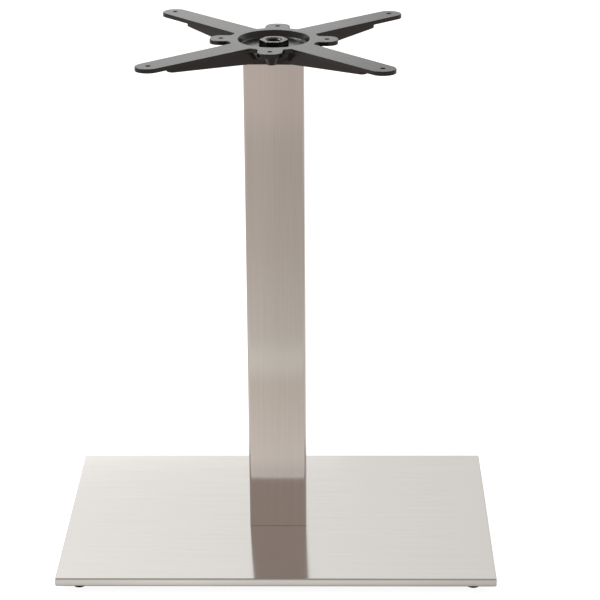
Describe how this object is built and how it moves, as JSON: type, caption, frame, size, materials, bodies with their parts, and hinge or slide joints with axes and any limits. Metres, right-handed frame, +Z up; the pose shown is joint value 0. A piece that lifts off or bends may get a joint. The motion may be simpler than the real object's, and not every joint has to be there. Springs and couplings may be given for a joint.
{
  "type": "table base",
  "caption": "Pedestal table base: flat rectangular steel foot on levelling feet, square brushed column and a black cast cross that screws to the tabletop.",
  "frame": {"origin": "on the floor, under the middle of the column", "axes": "+X along the long side of the base to the right, +Y to the back, +Z up"},
  "size_m": [0.6, 0.4, 0.725],
  "materials": {
    "black_powder_coat": "semi-gloss black powder coat on cast iron",
    "zinc_plated_steel": "bright zinc plate",
    "brushed_stainless_column": "stainless steel, brushed along the column",
    "brushed_stainless_base": "stainless steel, brushed along the base",
    "bare_steel": "bare milled mild steel, oiled",
    "black_oxide_steel": "black oxide on alloy steel",
    "black_painted_steel": "matt black paint on mild steel plate",
    "black_nylon": "moulded black nylon, satin"
  },
  "bodies": {
    "base": {"top_spider": "black_powder_coat", "top_nut": "black_oxide_steel", "top_washer": "black_oxide_steel", "tie_rod": "black_oxide_steel", "rod_lock_nut": "black_oxide_steel", "column_tube": "brushed_stainless_column", "column_locator": "bare_steel", "locator_screws": "black_oxide_steel", "base_cover": "brushed_stainless_base", "base_weight_plate": "black_painted_steel"},
    "foot_front_left": {"foot_pad_front_left": "black_nylon", "foot_stud_front_left": "zinc_plated_steel"},
    "foot_front_right": {"foot_pad_front_right": "black_nylon", "foot_stud_front_right": "zinc_plated_steel"},
    "foot_back_left": {"foot_pad_back_left": "black_nylon", "foot_stud_back_left": "zinc_plated_steel"},
    "foot_back_right": {"foot_pad_back_right": "black_nylon", "foot_stud_back_right": "zinc_plated_steel"}
  },
  "joints": [
    {"name": "level_front_left", "type": "slide", "parent": "base", "child": "foot_front_left", "axis": [0, 0, -1], "range_m": [0, 0.004]},
    {"name": "level_front_right", "type": "slide", "parent": "base", "child": "foot_front_right", "axis": [0, 0, -1], "range_m": [0, 0.004]},
    {"name": "level_back_left", "type": "slide", "parent": "base", "child": "foot_back_left", "axis": [0, 0, -1], "range_m": [0, 0.004]},
    {"name": "level_back_right", "type": "slide", "parent": "base", "child": "foot_back_right", "axis": [0, 0, -1], "range_m": [0, 0.004]}
  ]
}
